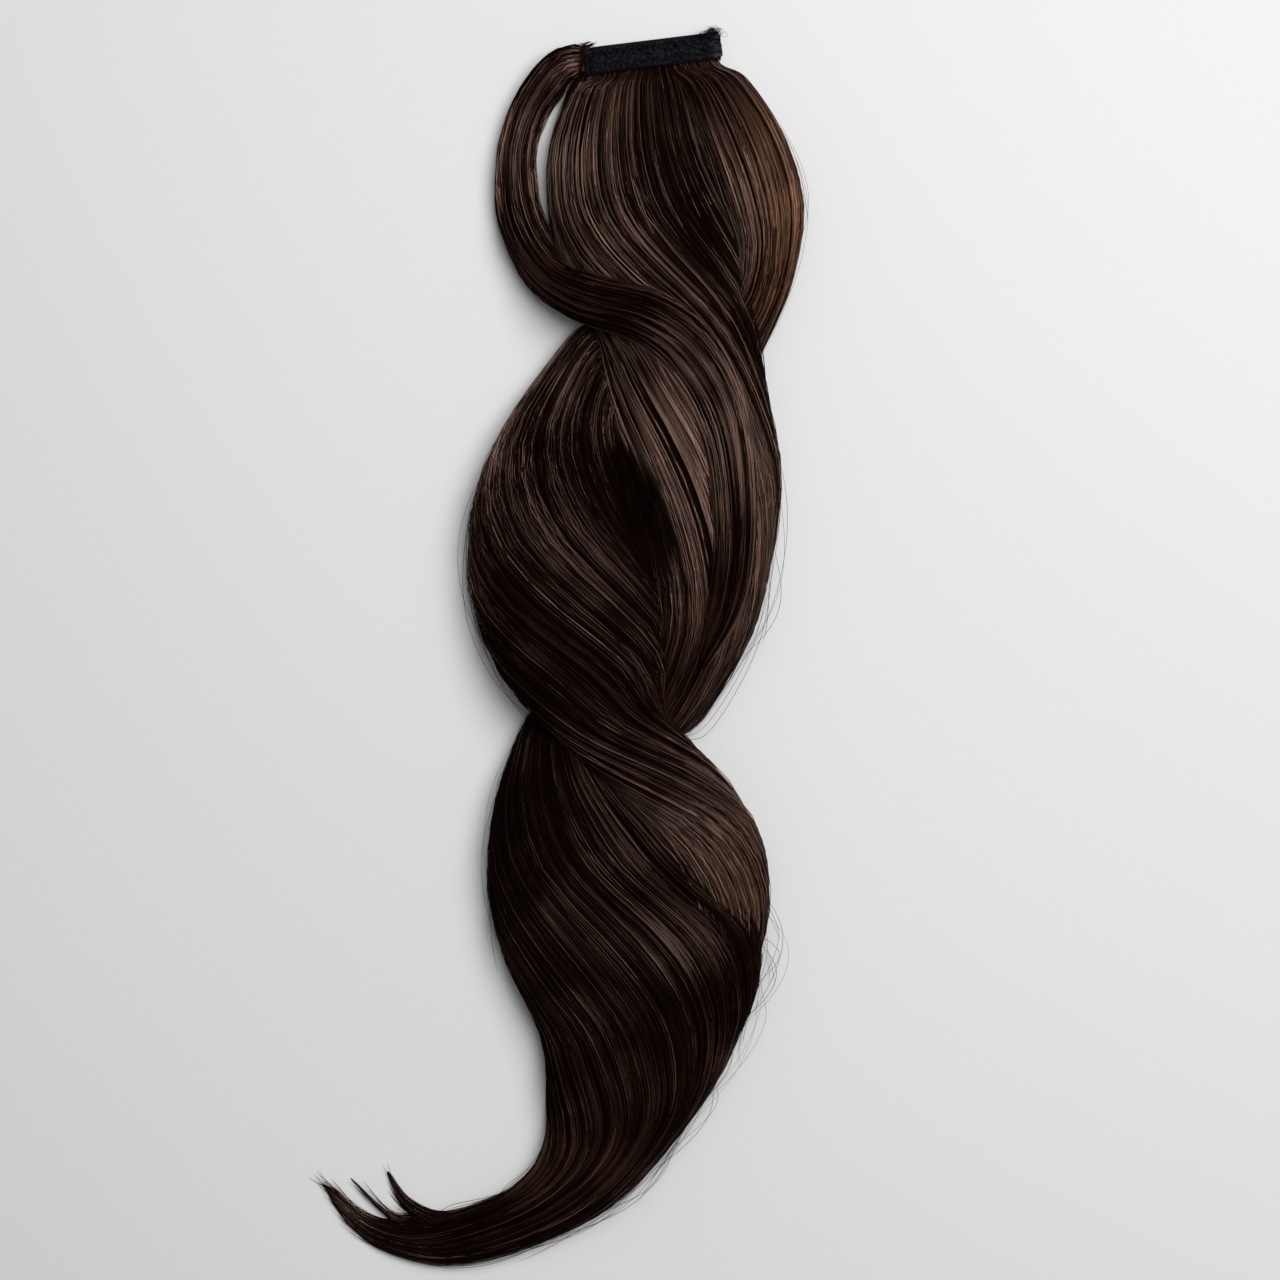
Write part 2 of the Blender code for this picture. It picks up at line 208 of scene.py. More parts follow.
STITCH_PITCH = 0.0022
SEAM_INSET = 0.0012
SEAM_WIDTH = 0.0004
SEAM_DEPTH = 0.30
TAPE_STATIONS = 210
TAPE_POINTS = 36
FOLD_RADIUS = (BAND_HEIGHT - BAND_THICKNESS) / 2
FOLD_CENTRE = BAND_HEIGHT / 2
straight = BAND_LENGTH - FOLD_CENTRE
tape_run = np.linspace(0.0, 2 * straight + math.pi * FOLD_RADIUS, TAPE_STATIONS)
fold_turn = np.clip((tape_run - straight) / FOLD_RADIUS, 0.0, math.pi)
past_fold = np.maximum(tape_run - straight - math.pi * FOLD_RADIUS, 0.0)
before_fold = np.maximum(straight - tape_run, 0.0)
tape_x = FOLD_CENTRE + before_fold + past_fold - FOLD_RADIUS * np.sin(fold_turn)
tape_z = FOLD_CENTRE + FOLD_RADIUS * np.cos(fold_turn)
outward = np.stack([-np.sin(fold_turn), np.cos(fold_turn)], axis=-1)


def squared_off(value):
    """A sine or cosine with its sign kept and its size raised to a small power, which turns a round
    section into one with nearly square corners."""
    return np.sign(value) * np.abs(value) ** 0.22


tape_turn = 2 * np.pi * np.arange(TAPE_POINTS) / TAPE_POINTS
tape_y = BAND_WIDTH / 2 + BAND_WIDTH / 2 * squared_off(np.cos(tape_turn))
tape_lift = BAND_THICKNESS / 2 * squared_off(np.sin(tape_turn))
past_seam = np.abs(tape_y - BAND_WIDTH / 2) - BAND_WIDTH / 2 + SEAM_INSET
seam = np.exp(-((past_seam / SEAM_WIDTH) ** 2))
stitches = 0.5 + 0.5 * np.cos(2 * np.pi * tape_run / STITCH_PITCH)
tape_lift = tape_lift[None, :] * (1 - SEAM_DEPTH * seam[None, :] * stitches[:, None])
tape_rings = np.stack(
    [
        tape_x[:, None] + outward[:, 0:1] * tape_lift,
        np.broadcast_to(tape_y, tape_lift.shape),
        tape_z[:, None] + outward[:, 1:2] * tape_lift,
    ],
    axis=-1,
)[None, :, ::-1]
band_piece = tube_piece(
    "band_tape", on_band(tape_rings), tape, np.zeros((1, TAPE_STATIONS)), ["woven_band"]
)
weave_map = cell_map(tape_rings).astype(np.float32).reshape(-1)
band_piece.data.uv_layers.new(name="weave").uv.foreach_set("vector", weave_map)


# FASTENER STRIP
# The brushed half of a hook-and-loop tape, sewn on the band's front layer. Its pile stands in five
# lengthwise ribs, and its cut corner at the right has frayed into loose loops.
STRIP_WIDTH = 0.0138
STRIP_THICKNESS = 0.0013
STRIP_LENGTH = 0.0772
STRIP_START = 0.0040
STRIP_LOW_EDGE = 0.0004
STRIP_FLOOR = 0.0083
STRIP_BODY = 0.55
STRIP_OVERHANG = 0.0002
PILE_ROWS = 5
RIB_OVERHANG = 0.0018
RIB_CREST = 0.6
LIGHT_END_FROM = 0.92
LIGHT_END_RISE = 0.05
STRIP_LIGHT = 0.9
PILE_FIBRES = 2400
FIBRE_REACH = (0.0006, 0.0016)
FIBRE_BOW = (0.0002, 0.0006)
FIBRE_RADIUS = 0.00008
FIBRE_LIGHT = 1.4
WORN_SHARE = 0.35

pile, shader, add, join = new_material("fastener_pile")
shader.inputs["Roughness"].default_value = 0.9
shader.inputs["Specular IOR Level"].default_value = 0.12
place = add("TexCoord")
speck = add("TexNoise", Scale=560.0, Detail=2.0, Roughness=0.6)
join(place.outputs["Object"], speck.inputs["Vector"])
tone = add("Attribute", attribute_name="tone")
worn = add("Math", operation="MULTIPLY_ADD")
worn.inputs[1].default_value = WORN_SHARE
join(tone.outputs["Fac"], worn.inputs[0])
join(speck.outputs["Fac"], worn.inputs[2])
pile_ramp = ramp_of(
    add, [(0.40, (0.0004, 0.0004, 0.0008)), (0.62, (0.0105, 0.0100, 0.0155)), (1.0, (0.070, 0.070, 0.078))]
)
join(worn.outputs["Value"], pile_ramp.inputs["Fac"])
join(pile_ramp.outputs["Color"], shader.inputs["Base Color"])
relief = add("Bump", Strength=0.8, Distance=0.0003)
join(speck.outputs["Fac"], relief.inputs["Height"])
join(relief.outputs["Normal"], shader.inputs["Normal"])


def rib(across):
    """How high the pile stands across the strip: half a sine over each of the rows, 1 on a crest."""
    return np.abs(np.sin(np.pi * PILE_ROWS * across / STRIP_WIDTH))


def strip_top(across):
    """Height of the strip's face: its body, a share of its thickness, with the ribs on it."""
    return STRIP_FLOOR + STRIP_THICKNESS * (STRIP_BODY + (1 - STRIP_BODY) * rib(across))


def light_end(share, across):
    """How light the worn pile is: on the ribs' crests only, from 0 at a share of the strip's length
    near its right end, rising evenly to 1."""
    return np.clip((share - LIGHT_END_FROM) / LIGHT_END_RISE, 0.0, 1.0) * (rib(across) > RIB_CREST)


chance = np.random.default_rng(11)
STRIP_STATIONS = 120
STRIP_POINTS = 60
strip_turn = 2 * np.pi * np.arange(STRIP_POINTS) / STRIP_POINTS
strip_x = np.linspace(0.0, 1.0, STRIP_STATIONS)
strip_y = STRIP_WIDTH / 2 * (1 + squared_off(np.cos(strip_turn)))
top_side = np.sin(strip_turn) > 0.02
strip_z = np.where(top_side, strip_top(strip_y), STRIP_FLOOR)
strip_reach = STRIP_LENGTH + STRIP_OVERHANG + RIB_OVERHANG * rib(strip_y)
strip_rings = np.stack(
    [
        STRIP_START + strip_x[:, None] * strip_reach[None, :],
        STRIP_LOW_EDGE + np.broadcast_to(strip_y, (STRIP_STATIONS, STRIP_POINTS)),
        np.broadcast_to(strip_z, (STRIP_STATIONS, STRIP_POINTS)),
    ],
    axis=-1,
)[None]
strip_tone = STRIP_LIGHT * light_end(strip_x[None, :, None], strip_y)
tube_piece("strip_back", on_band(strip_rings), pile, strip_tone, ["fastener_strip"])


def loops(feet, heading, reach, bow, curl, radius, stations):
    """Bent fibres. Each runs from its foot along its heading to its reach, raised by its bow and
    pushed aside by its curl in the middle."""
    part = np.linspace(0.0, 1.0, stations)[None, :, None]
    bent = 4 * part * (1 - part)
    up = np.array([0.0, 0.0, 1.0])
    aside = unit(np.cross(up, heading))
    away = bow[:, None, None] * up + curl[:, None, None] * aside[:, None]
    path = feet[:, None] + part * reach[:, None, None] * heading[:, None] + bent * away
    return rings_round(path, np.broadcast_to(radius, path.shape[:2]), points=3)


across = chance.uniform(0.0, STRIP_WIDTH, PILE_FIBRES)
along = chance.uniform(0.0, STRIP_LENGTH, PILE_FIBRES)
feet = np.stack([STRIP_START + along, STRIP_LOW_EDGE + across, strip_top(across) - 0.0001], axis=-1)
lean = chance.uniform(-np.pi, np.pi, PILE_FIBRES)
heading = np.stack([np.cos(lean), np.sin(lean), chance.uniform(-0.1, 0.3, PILE_FIBRES)], axis=-1)
fibre_rings = loops(
    feet, heading, chance.uniform(*FIBRE_REACH, PILE_FIBRES), chance.uniform(*FIBRE_BOW, PILE_FIBRES),
    np.zeros(PILE_FIBRES), FIBRE_RADIUS, stations=3,
)
fibre_tone = FIBRE_LIGHT * light_end(along / STRIP_LENGTH, across)[:, None] + np.zeros(3)
tube_piece("strip_pile", on_band(fibre_rings), pile, fibre_tone)

# The frayed loops stand along the upper edge near the right corner, and down the cut end. They are
# shorter down the cut end, and the further back they stand.
FRAYED_LOOPS = 420
LOOP_REACH = (0.0012, 0.0060)
LOOP_BOW = (0.0002, 0.0010)
LOOP_RADIUS = 0.00010
LOOP_STATIONS = 7
FRAY_BACK = 0.0070
FRAY_EDGE = 0.0008
FRAY_DOWN_FACTOR = 8.0
FRAY_SHORT_BELOW = 0.0020
FRAY_FADE = 0.014
back = np.abs(chance.normal(0.0, FRAY_BACK, FRAYED_LOOPS))
at_cut_end = back < FRAY_EDGE
down = np.abs(chance.normal(0.0, FRAY_EDGE, FRAYED_LOOPS)) * np.where(at_cut_end, FRAY_DOWN_FACTOR, 1.0)
feet = np.stack([
    STRIP_START + STRIP_LENGTH - back,
    STRIP_LOW_EDGE + STRIP_WIDTH - np.minimum(down, STRIP_WIDTH / 2),
    np.full(FRAYED_LOOPS, STRIP_FLOOR + STRIP_THICKNESS * 0.6),
], axis=-1)
lean = chance.normal(1.35, 0.7, FRAYED_LOOPS)
heading = np.stack([np.cos(lean), np.sin(lean), chance.uniform(-0.1, 0.3, FRAYED_LOOPS)], axis=-1)
loop_reach = chance.uniform(*LOOP_REACH, FRAYED_LOOPS) * np.where(down > FRAY_SHORT_BELOW, 0.5, 1.0)
loop_reach = loop_reach * np.clip(1.15 - back / FRAY_FADE, 0.15, 1.0)
loop_rings = loops(
    feet, heading, loop_reach, chance.uniform(*LOOP_BOW, FRAYED_LOOPS),
    chance.normal(0.0, 0.5, FRAYED_LOOPS) * loop_reach, LOOP_RADIUS, LOOP_STATIONS,
)
loop_tone = np.zeros((FRAYED_LOOPS, LOOP_STATIONS))
tube_piece("frayed_loops", on_band(loop_rings), pile, loop_tone)


# LEFT LOCK
# One of the two thick locks, of fine straight fibres sewn between the band's layers. It lies over the
# right lock at the first crossing, under it at the second and slantwise over it in the third bulge,
# and ends in the outer tip.
HAIR_REACH = 0.7155
HAIR_SPREAD = 0.2890
HAIR_DEPTH = 0.0350
ROOT_THICKNESS = 0.0050
ROOT_FLOOR = 0.0015
ROOT_START = 0.0022
ROOT_PARTING = 0.0511
ROOT_END = 0.0810
ROOT_OVERLAP = 0.004

# left_along, left_side, right_along, right_side, floor, crown, twist: the lock's two edges as shares
# of the reach below the band and the spread beside its middle, its underside and thickness as
# shares of the depth, and how far its hair has turned about it, in half turns.
LEFT_LOCK = np.array([
    [0.024, -0.176, 0.020, 0.068, 0.01, 0.43, 0.00],
    [0.077, -0.216, 0.073, 0.104, 0.00, 0.83, 0.00],
    [0.131, -0.210, 0.123, 0.162, 0.03, 0.94, 0.00],
    [0.184, -0.178, 0.173, 0.195, 0.20, 0.80, 0.12],
    [0.223, -0.116, 0.229, 0.216, 0.34, 0.69, 0.28],
    [0.268, -0.098, 0.282, 0.239, 0.14, 0.86, 0.40],
    [0.315, -0.085, 0.345, 0.263, 0.00, 0.97, 0.52],
    [0.379, -0.044, 0.412, 0.243, 0.00, 0.94, 0.62],
    [0.451, -0.010, 0.479, 0.197, 0.00, 0.83, 0.69],
    [0.514, -0.052, 0.548, 0.093, 0.00, 0.60, 0.74],
    [0.536, -0.151, 0.563, 0.025, 0.00, 0.51, 0.80],
    [0.536, -0.243, 0.595, -0.023, 0.00, 0.57, 0.86],
    [0.573, -0.290, 0.616, 0.031, 0.00, 0.74, 0.92],
    [0.613, -0.324, 0.640, 0.110, 0.00, 0.86, 0.97],
    [0.664, -0.342, 0.675, 0.176, 0.00, 0.93, 1.04],
    [0.720, -0.326, 0.710, 0.216, 0.00, 0.94, 1.15],
    [0.769, -0.278, 0.743, 0.222, 0.03, 0.91, 1.22],
    [0.811, -0.230, 0.781, 0.205, 0.03, 0.83, 1.28],
    [0.852, -0.220, 0.811, 0.174, 0.00, 0.77, 1.34],
    [0.887, -0.216, 0.847, 0.131, 0.00, 0.71, 1.40],
    [0.915, -0.239, 0.880, 0.077, 0.00, 0.63, 1.46],
    [0.937, -0.290, 0.918, 0.000, 0.00, 0.54, 1.50],
    [0.951, -0.365, 0.957, -0.104, 0.00, 0.43, 1.52],
    [0.961, -0.442, 0.989, -0.270, 0.00, 0.31, 1.53],
    [0.967, -0.523, 1.002, -0.425, 0.00, 0.21, 1.54],
    [0.960, -0.593, 0.991, -0.556, 0.00, 0.13, 1.54],
    [0.945, -0.645, 0.969, -0.631, 0.00, 0.08, 1.54],
    [0.935, -0.685, 0.940, -0.678, 0.00, 0.04, 1.54],
])


def root_rows(start, end):
    """The two rows that hold a lock's roots between the band's layers, and at the band's edge."""
    rows = []
    for across in (BAND_WIDTH - ROOT_THICKNESS, -ROOT_THICKNESS / 2):
        left, right = (on_band(np.array([x, across, 0.0])) - band_middle for x in (start, end))
        floor, crown = ROOT_FLOOR / HAIR_DEPTH, ROOT_THICKNESS / HAIR_DEPTH
        rows.append([-left[1] / HAIR_REACH, left[0] / HAIR_SPREAD, -right[1] / HAIR_REACH,
                     right[0] / HAIR_SPREAD, floor, crown, 0.0])
    return rows


def rows_at(rows, place):
    """A lock's row at each place, counted in rows, on smooth curves through the rows of its table."""
    padded = np.vstack([2 * rows[0] - rows[1], rows, 2 * rows[-1] - rows[-2]])
    first = np.clip(place.astype(int), 0, len(rows) - 2)
    part = (place - first)[..., None]
    a, b, c, d = (padded[first + k] for k in range(4))
    curve = 2 * b + (c - a) * part + (2 * a - 5 * b + 4 * c - d) * part**2
    return 0.5 * (curve + (3 * b - a - 3 * c + d) * part**3)


HOLLOW_MIDDLE = (-0.026 * HAIR_SPREAD, -0.372 * HAIR_REACH)
HOLLOW_LENGTH = 0.0760
HOLLOW_WIDTH = 0.0280
HOLLOW_DEPTH = 0.0200
HOLLOW_TURN = math.radians(20.0)
HOLLOW_RIM = 0.0030
HOLLOW_REACH = 0.56


def in_hollow(plan):
    """How far inside the deep hollow of the second bulge a point lies as seen from above: 1 in the
    middle of its ellipse, falling with the square of the distance to 0 at its reach and beyond."""
    x, y = plan[..., 0] - HOLLOW_MIDDLE[0], plan[..., 1] - HOLLOW_MIDDLE[1]
    aside = (x * math.cos(HOLLOW_TURN) + y * math.sin(HOLLOW_TURN)) / (HOLLOW_WIDTH * HOLLOW_REACH)
    along = (y * math.cos(HOLLOW_TURN) - x * math.sin(HOLLOW_TURN)) / (HOLLOW_LENGTH * HOLLOW_REACH)
    return np.clip(1 - aside**2 - along**2, 0.0, 1.0)


LEAST_CROWN = 0.0006
LEAST_HALF_WIDTH = 0.0040
LEAST_HEIGHT = 0.0004
THIN_CROWN = 0.003
FULL_LIFT_OVER = 0.012
EDGE_RISE = 0.32


def on_lock(rows, place, turn, lift):
    """Points on a lock. turn is 0 at its left edge, 0.5 on top, 1 at its right edge and 1 to 2 on
    the flat underside; lift moves a point outwards from the surface, less where the lock is thin.
    Seen from above a point goes from edge to edge as a half cosine. Its height is the floor and a
    share of the crown: the edges' share and the rest times the sine of the turn to the power 0.8, or
    on the underside the edges' share times one less that sine to the power 0.35. Over the hollow it
    stays under a limit that falls from the hair's depth and the rim by inside to the power 0.6."""
    row = rows_at(rows, place)
    left = np.stack([row[..., 1] * HAIR_SPREAD, -row[..., 0] * HAIR_REACH], axis=-1)
    right = np.stack([row[..., 3] * HAIR_SPREAD, -row[..., 2] * HAIR_REACH], axis=-1)
    floor = np.maximum(row[..., 4], 0.0) * HAIR_DEPTH
    crown = np.maximum(row[..., 5] * HAIR_DEPTH, LEAST_CROWN)
    over, aside = np.sin(np.pi * turn), np.cos(np.pi * turn)
    dome = EDGE_RISE + (1 - EDGE_RISE) * np.abs(over) ** 0.8
    up = np.where(over >= 0, dome, EDGE_RISE - EDGE_RISE * np.abs(over) ** 0.35)
    half = np.linalg.norm(right - left, axis=-1) / 2
    lift = lift * np.clip((crown - THIN_CROWN) / FULL_LIFT_OVER, 0.05, 1.0)
    lean = np.stack([-aside / np.maximum(half, LEAST_HALF_WIDTH), over / crown], axis=-1)
    lean = unit(lean) * lift[..., None]
    plan = left + (right - left) * (0.5 - 0.5 * aside)[..., None]
    plan = plan + unit(right - left) * lean[..., 0:1]
    inside = in_hollow(plan)
    limit = HAIR_DEPTH + HOLLOW_RIM - (HOLLOW_DEPTH + HOLLOW_RIM) * inside**0.6
    height = np.where(inside > 0, np.minimum(floor + crown * up, limit), floor + crown * up)
    height = np.maximum(height + lean[..., 1], LEAST_HEIGHT)
    return band_middle + np.concatenate([plan, height[..., None]], axis=-1)


CORE_SINK = 0.0036
CORE_START = 0.15
CORE_STOP = 2.2
RIDGE_COUNTS = (23, 37, 53)
RIDGE_HEIGHT = 0.0048


def core_places(rows, stations):
    """Where a core's stations lie, in rows: evenly from just past the first row to before the last."""
    return np.linspace(CORE_START, len(rows) - CORE_STOP, stations)


def core_rings(rows, stations, points, seed):
    """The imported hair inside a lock: its own form, sunk a little, with ridges that follow the hair.
    The ridges are cosines round the lock, each as high as the ridge height divided by its count."""
    draw = np.random.default_rng(seed)
    place = core_places(rows, stations)[:, None]
    turn = 1.0 - 2.0 * np.arange(points)[None, :] / points
    own = turn - rows_at(rows, place)[..., 6]
    ridges = np.zeros(own.shape)
    for count in RIDGE_COUNTS:
        drift = draw.uniform(0, 2 * np.pi) + 0.6 * np.sin(place * draw.uniform(0.3, 0.6))
        ridges += np.cos(np.pi * count * own + drift) * RIDGE_HEIGHT / count
    return on_lock(rows, place + 0 * turn, turn + 0 * place, ridges - CORE_SINK)[None]


# Least and most of a tuft's length as a share of the lock's, its half width in half turns, and its
# lift, with the turns that the tufts are spread over.
TUFT_LENGTHS = (0.18, 0.40)
TUFT_WIDTHS = (0.003, 0.018)
TUFT_LIFTS = (-0.0016, 0.0008)
FIRST_TURN = -0.12
TURN_SPAN = 1.24
GOLDEN_SHARE = 0.618034
TUFT_SPOTS = 400
SINK_AT_ENDS = 0.0040
MEAN_TONE = 0.45
TUFT_TONE = 0.12
HAIR_TONE = 0.21
HOLLOW_PAINTED_SHADE = 0.95
TIP_DARKENING = 0.34


def strand_paths(rows, tufts, hairs, seed, shown, fan=1.0, stations=20):
    """Strands in tufts, with their tone, place and turn. A tuft's middle lies where the running sum of the
    rows' shown weights passes its own share, at a turn spread evenly by the golden share. Its hairs lie
    beside each other, drift by a sine, and sink as the sixth power of the way from their middle. fan
    widens the tufts, for a slim lock. Tone falls in the hollow, as painted shade, and over the last rows."""
    draw = np.random.default_rng(seed)
    count = tufts * hairs
    last = len(rows) - 1
    weight = np.interp(np.linspace(0, last, TUFT_SPOTS), np.arange(last + 1), shown)
    order = np.arange(tufts)
    spots = np.searchsorted(np.cumsum(weight) / weight.sum(), (order + draw.uniform(0, 1, tufts)) / tufts)
    middle = spots / TUFT_SPOTS * last
    long = draw.uniform(*TUFT_LENGTHS, tufts) * last
    turn_share = (order * GOLDEN_SHARE + draw.uniform(0, 0.04, tufts)) % 1.0
    own = FIRST_TURN + TURN_SPAN * turn_share - rows_at(rows, middle)[:, 6]
    wide = draw.uniform(*TUFT_WIDTHS, tufts) * fan
    deep = draw.uniform(*TUFT_LIFTS, tufts)
    tuft_tone = draw.normal(0.0, 1.0, tufts)
    of_tufts = (middle, long, own, wide, deep, tuft_tone)
    middle, long, own, wide, deep, tuft_tone = (np.repeat(value, hairs) for value in of_tufts)
    beside = draw.normal(0.0, 0.6, count)
    begin = np.clip(middle - long / 2 + draw.normal(0, 0.7, count), 0.25, last - 1.5)
    end = np.clip(middle + long / 2 + draw.normal(0, 0.7, count), begin + 1.5, last)
    part = np.linspace(0.0, 1.0, stations)[None, :]
    place = begin[:, None] + (end - begin)[:, None] * part
    bends = draw.uniform(0.6, 1.8, count)[:, None] * part + draw.uniform(0, 1, count)[:, None]
    wander = draw.normal(0, 0.006 * fan**0.7, count)[:, None] * np.sin(np.pi * bends)
    turn = (own + beside * wide)[:, None] + wander + rows_at(rows, place)[..., 6]
    ends = (2 * part - 1) ** 6
    waves = draw.uniform(1.3, 3.4, count)[:, None] * part * 2 * np.pi
    waves = waves + draw.uniform(0, 6.28, count)[:, None]
    depth = deep - 0.0007 * np.minimum(beside**2, 2.0) + draw.normal(0, 0.0004, count)
    depth = depth[:, None] - SINK_AT_ENDS * ends
    depth = depth + draw.uniform(0.0001, 0.0007, count)[:, None] * np.sin(waves)
    path = on_lock(rows, place, turn, depth)
    tone = MEAN_TONE + TUFT_TONE * tuft_tone + draw.normal(0, HAIR_TONE, count)
    # Painted shade: inside the hollow the strands' tone, and with it their gloss, is lowered.
    tone = tone[:, None] * (1 - HOLLOW_PAINTED_SHADE * in_hollow((path - band_middle)[..., :2]) ** 0.3)
    return path, tone - TIP_DARKENING * np.clip((place - last + 6) / 4, 0, 1), place, turn


def near(value, middle, width):
    """1 where the value is the middle one, falling off as a bell of the given width."""
    return np.exp(-(((value - middle) / width) ** 2))


def with_painted_light(tone, place, turn, zones):
    """Tone after its zones of painted highlight and painted shade, in their order. A zone's bell is the
    product of one bell along the lock and one round it; it takes a share of the tone and adds an amount to
    it."""
    for taken, added, middle, length, side, width in zones:
        bell = near(place, middle, length) * near(turn, side, width)
        tone = tone * (1 - taken * bell) + added * bell
    return tone


TIP_TONE = 0.20


def tip_paths(rows, count, seed, reach, stations=12):
    """Hairs at a lock's tip: each starts some rows before the end, at its own turn, and runs on past
    the end along the way that it was going, by up to the reach and a little to one side."""
    draw = np.random.default_rng(seed)
    last = len(rows) - 1
    begin = np.maximum(last - draw.uniform(2.5, 6.0, count), 0.3)
    end = last - draw.uniform(0.0, 1.4, count)
    part = np.linspace(0.0, 1.0, stations)[None, :]
    place = begin[:, None] + (end - begin)[:, None] * part
    turn = draw.uniform(-0.1, 1.1, count)[:, None] + draw.normal(0, 0.06, count)[:, None] * part
    depth = draw.normal(0.0002, 0.0005, count)[:, None] - 0.002 * (1 - part) ** 6
    path = on_lock(rows, place, turn, depth)
    ahead = unit(path[:, -1] - path[:, -3])
    aside = np.cross(np.array([0.0, 0.0, 1.0]), ahead)
    beyond = draw.uniform(0.05, 1.0, count)[:, None] ** 1.5 * reach
    away = beyond * (ahead + draw.normal(0, 0.22, count)[:, None] * aside)
    path = path + np.clip((part - 0.55) / 0.45, 0, 1)[..., None] ** 1.6 * away[:, None]
    return path, TIP_TONE + draw.normal(0, 0.2, count)[:, None] + 0 * part


STRAY_TONE = 0.35
STRAY_RIPPLE = 0.0012


def stray_paths(rows, count, seed, edge, low, high, far, stations=22):
    """Loose hairs beside a lock. Each leaves its left edge (0) or right edge (1) between two rows and
    bows away by up to far; the bow is a half sine, or for every third hair a square that ends free."""
    draw = np.random.default_rng(seed)
    part = np.linspace(0.0, 1.0, stations)[None, :]
    begin = draw.uniform(low, high, count)[:, None]
    place = np.clip(begin + draw.uniform(1.2, 4.2, count)[:, None] * part, 0.3, len(rows) - 1.2)
    free = (np.arange(count) % 3 == 0)[:, None]
    bow = np.where(free, part**2, np.sin(np.pi * part) ** 1.2)
    bow = bow * draw.uniform(0.15, 1.0, count)[:, None] * far
    ripple = draw.uniform(3, 9, count)[:, None] * part + draw.uniform(0, 6, count)[:, None]
    bow = bow + STRAY_RIPPLE * np.sin(ripple)
    turn = edge + (0.5 - edge) * draw.uniform(0.0, 0.25, count)[:, None] + 0 * part
    return on_lock(rows, place, turn, bow), STRAY_TONE + draw.normal(0, 0.1, count)[:, None] + 0 * part


TAPER_SHARE = 0.12
LEAST_TAPER = 0.12


def strand_rings(path, radius, draw):
    """Thin three-sided strands along their paths, each with its own radius about the given one, and
    tapering evenly over a share of its length at each end."""
    part = np.linspace(0.0, 1.0, path.shape[1])[None, :]
    taper = np.clip(np.minimum(part, 1 - part) / TAPER_SHARE, LEAST_TAPER, 1.0)
    size = draw.uniform(radius * 0.6, radius * 1.4, len(path))[:, None]
    return rings_round(path, size * taper, points=3)


PATCH_SHARE = 0.7
PATCH_MEAN = PATCH_SHARE / 2
HAIR_STOPS = [
    (0.00, (0.0040, 0.0014, 0.0008)),
    (0.45, (0.0115, 0.0042, 0.0024)),
    (0.75, (0.0420, 0.0140, 0.0050)),
    (1.00, (0.1050, 0.0370, 0.0140)),
]

hair, shader, add, join = new_material("hair_strands")
shader.inputs["Roughness"].default_value = 0.27
shader.inputs["IOR"].default_value = 1.7
# Only the right lock's strands have the warm attribute. It reads as 0 on the other pieces.
warm = add("Attribute", attribute_name="warm")
warm_ramp = ramp_of(add, [(0.0, (1.0, 0.68, 0.56)), (1.0, (0.97, 0.48, 0.26))])
join(warm.outputs["Fac"], warm_ramp.inputs["Fac"])
join(warm_ramp.outputs["Color"], shader.inputs["Specular Tint"])
tone = add("Attribute", attribute_name="tone")
place = add("TexCoord")
patch = add("TexNoise", Scale=22.0, Detail=2.0)
join(place.outputs["Object"], patch.inputs["Vector"])
mixed = add("Math", operation="MULTIPLY_ADD")
mixed.inputs[1].default_value = PATCH_SHARE
join(patch.outputs["Fac"], mixed.inputs[0])
join(tone.outputs["Fac"], mixed.inputs[2])
lower = add("Math", operation="SUBTRACT")
lower.inputs[1].default_value = PATCH_MEAN
join(mixed.outputs["Value"], lower.inputs[0])
hair_ramp = ramp_of(add, HAIR_STOPS)
join(lower.outputs["Value"], hair_ramp.inputs["Fac"])
join(hair_ramp.outputs["Color"], shader.inputs["Base Color"])
gloss = add("MapRange", interpolation_type="SMOOTHSTEP")
for socket, value in (("From Min", 0.22), ("From Max", 1.25), ("To Min", 0.01), ("To Max", 2.0)):
    gloss.inputs[socket].default_value = value
join(lower.outputs["Value"], gloss.inputs["Value"])
join(gloss.outputs["Result"], shader.inputs["Specular IOR Level"])

# The cores are nearly black and barely glossy: partly the hair's own dark brown, partly painted shade in
# the gaps between the strands over them.
packed, shader, add, join = new_material("packed_hair")
shader.inputs["Roughness"].default_value = 0.60
shader.inputs["Specular IOR Level"].default_value = 0.06
shader.inputs["Specular Tint"].default_value = (1.0, 0.68, 0.56, 1.0)
flow = add("UVMap", uv_map="flow")
stretch = add("Mapping")
stretch.inputs["Scale"].default_value = (260.0, 9.0, 1.0)
join(flow.outputs["UV"], stretch.inputs["Vector"])
streak = add("TexNoise", Scale=1.0, Detail=4.0, Roughness=0.65)
join(stretch.outputs["Vector"], streak.inputs["Vector"])
core_ramp = ramp_of(add, [(0.35, (0.0030, 0.0011, 0.0007)), (0.70, (0.0080, 0.0030, 0.0018))])
join(streak.outputs["Fac"], core_ramp.inputs["Fac"])
join(core_ramp.outputs["Color"], shader.inputs["Base Color"])
relief = add("Bump", Strength=0.9, Distance=0.0006)
join(streak.outputs["Fac"], relief.inputs["Height"])
join(relief.outputs["Normal"], shader.inputs["Normal"])


